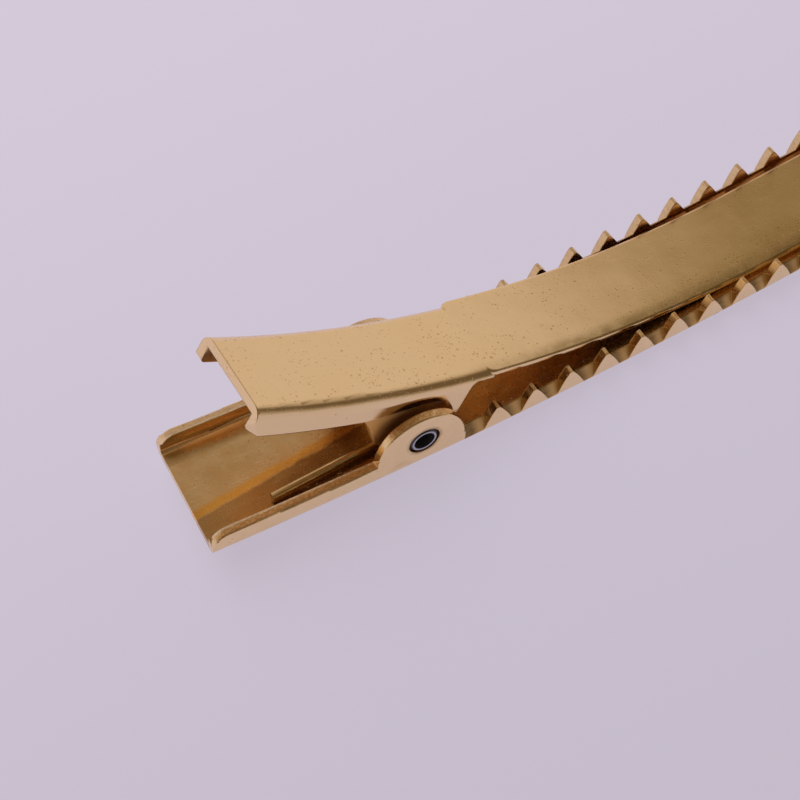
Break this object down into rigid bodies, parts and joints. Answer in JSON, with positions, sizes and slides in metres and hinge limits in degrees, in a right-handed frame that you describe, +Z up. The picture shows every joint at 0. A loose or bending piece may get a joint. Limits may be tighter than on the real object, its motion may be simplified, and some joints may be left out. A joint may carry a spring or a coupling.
{
  "type": "alligator hair clip",
  "caption": "Sprung hair clip: a curved toothed channel jaw with a finger lever, hinged on a hollow pin to a curved flat arm that a torsion spring holds shut.",
  "frame": {"origin": "middle of the clip's length and width, on the table that its curved belly rests on", "axes": "+X along the clip from the finger levers to the jaw tip, +Z up from the belly towards the arm, Y across, along the hinge pin"},
  "size_m": [0.0698, 0.01, 0.0143],
  "materials": {
    "body_gold": "polished",
    "arm_gold": "polished",
    "pin_steel": "turned",
    "spring_wire": "drawn"
  },
  "bodies": {
    "body": {"channel_body": "body_gold", "hinge_pin": "pin_steel", "torsion_spring": "spring_wire"},
    "arm": {"arm": "arm_gold"}
  },
  "joints": [
    {"name": "jaw_hinge", "type": "hinge", "parent": "body", "child": "arm", "pos_m": [-0.01818, 0, 0.0035], "axis": [0, -1, 0], "range_deg": [0, 34], "stiffness_Nm_per_rad": 0.03, "springref_deg": -57.3, "deforming": ["torsion_spring"]}
  ]
}
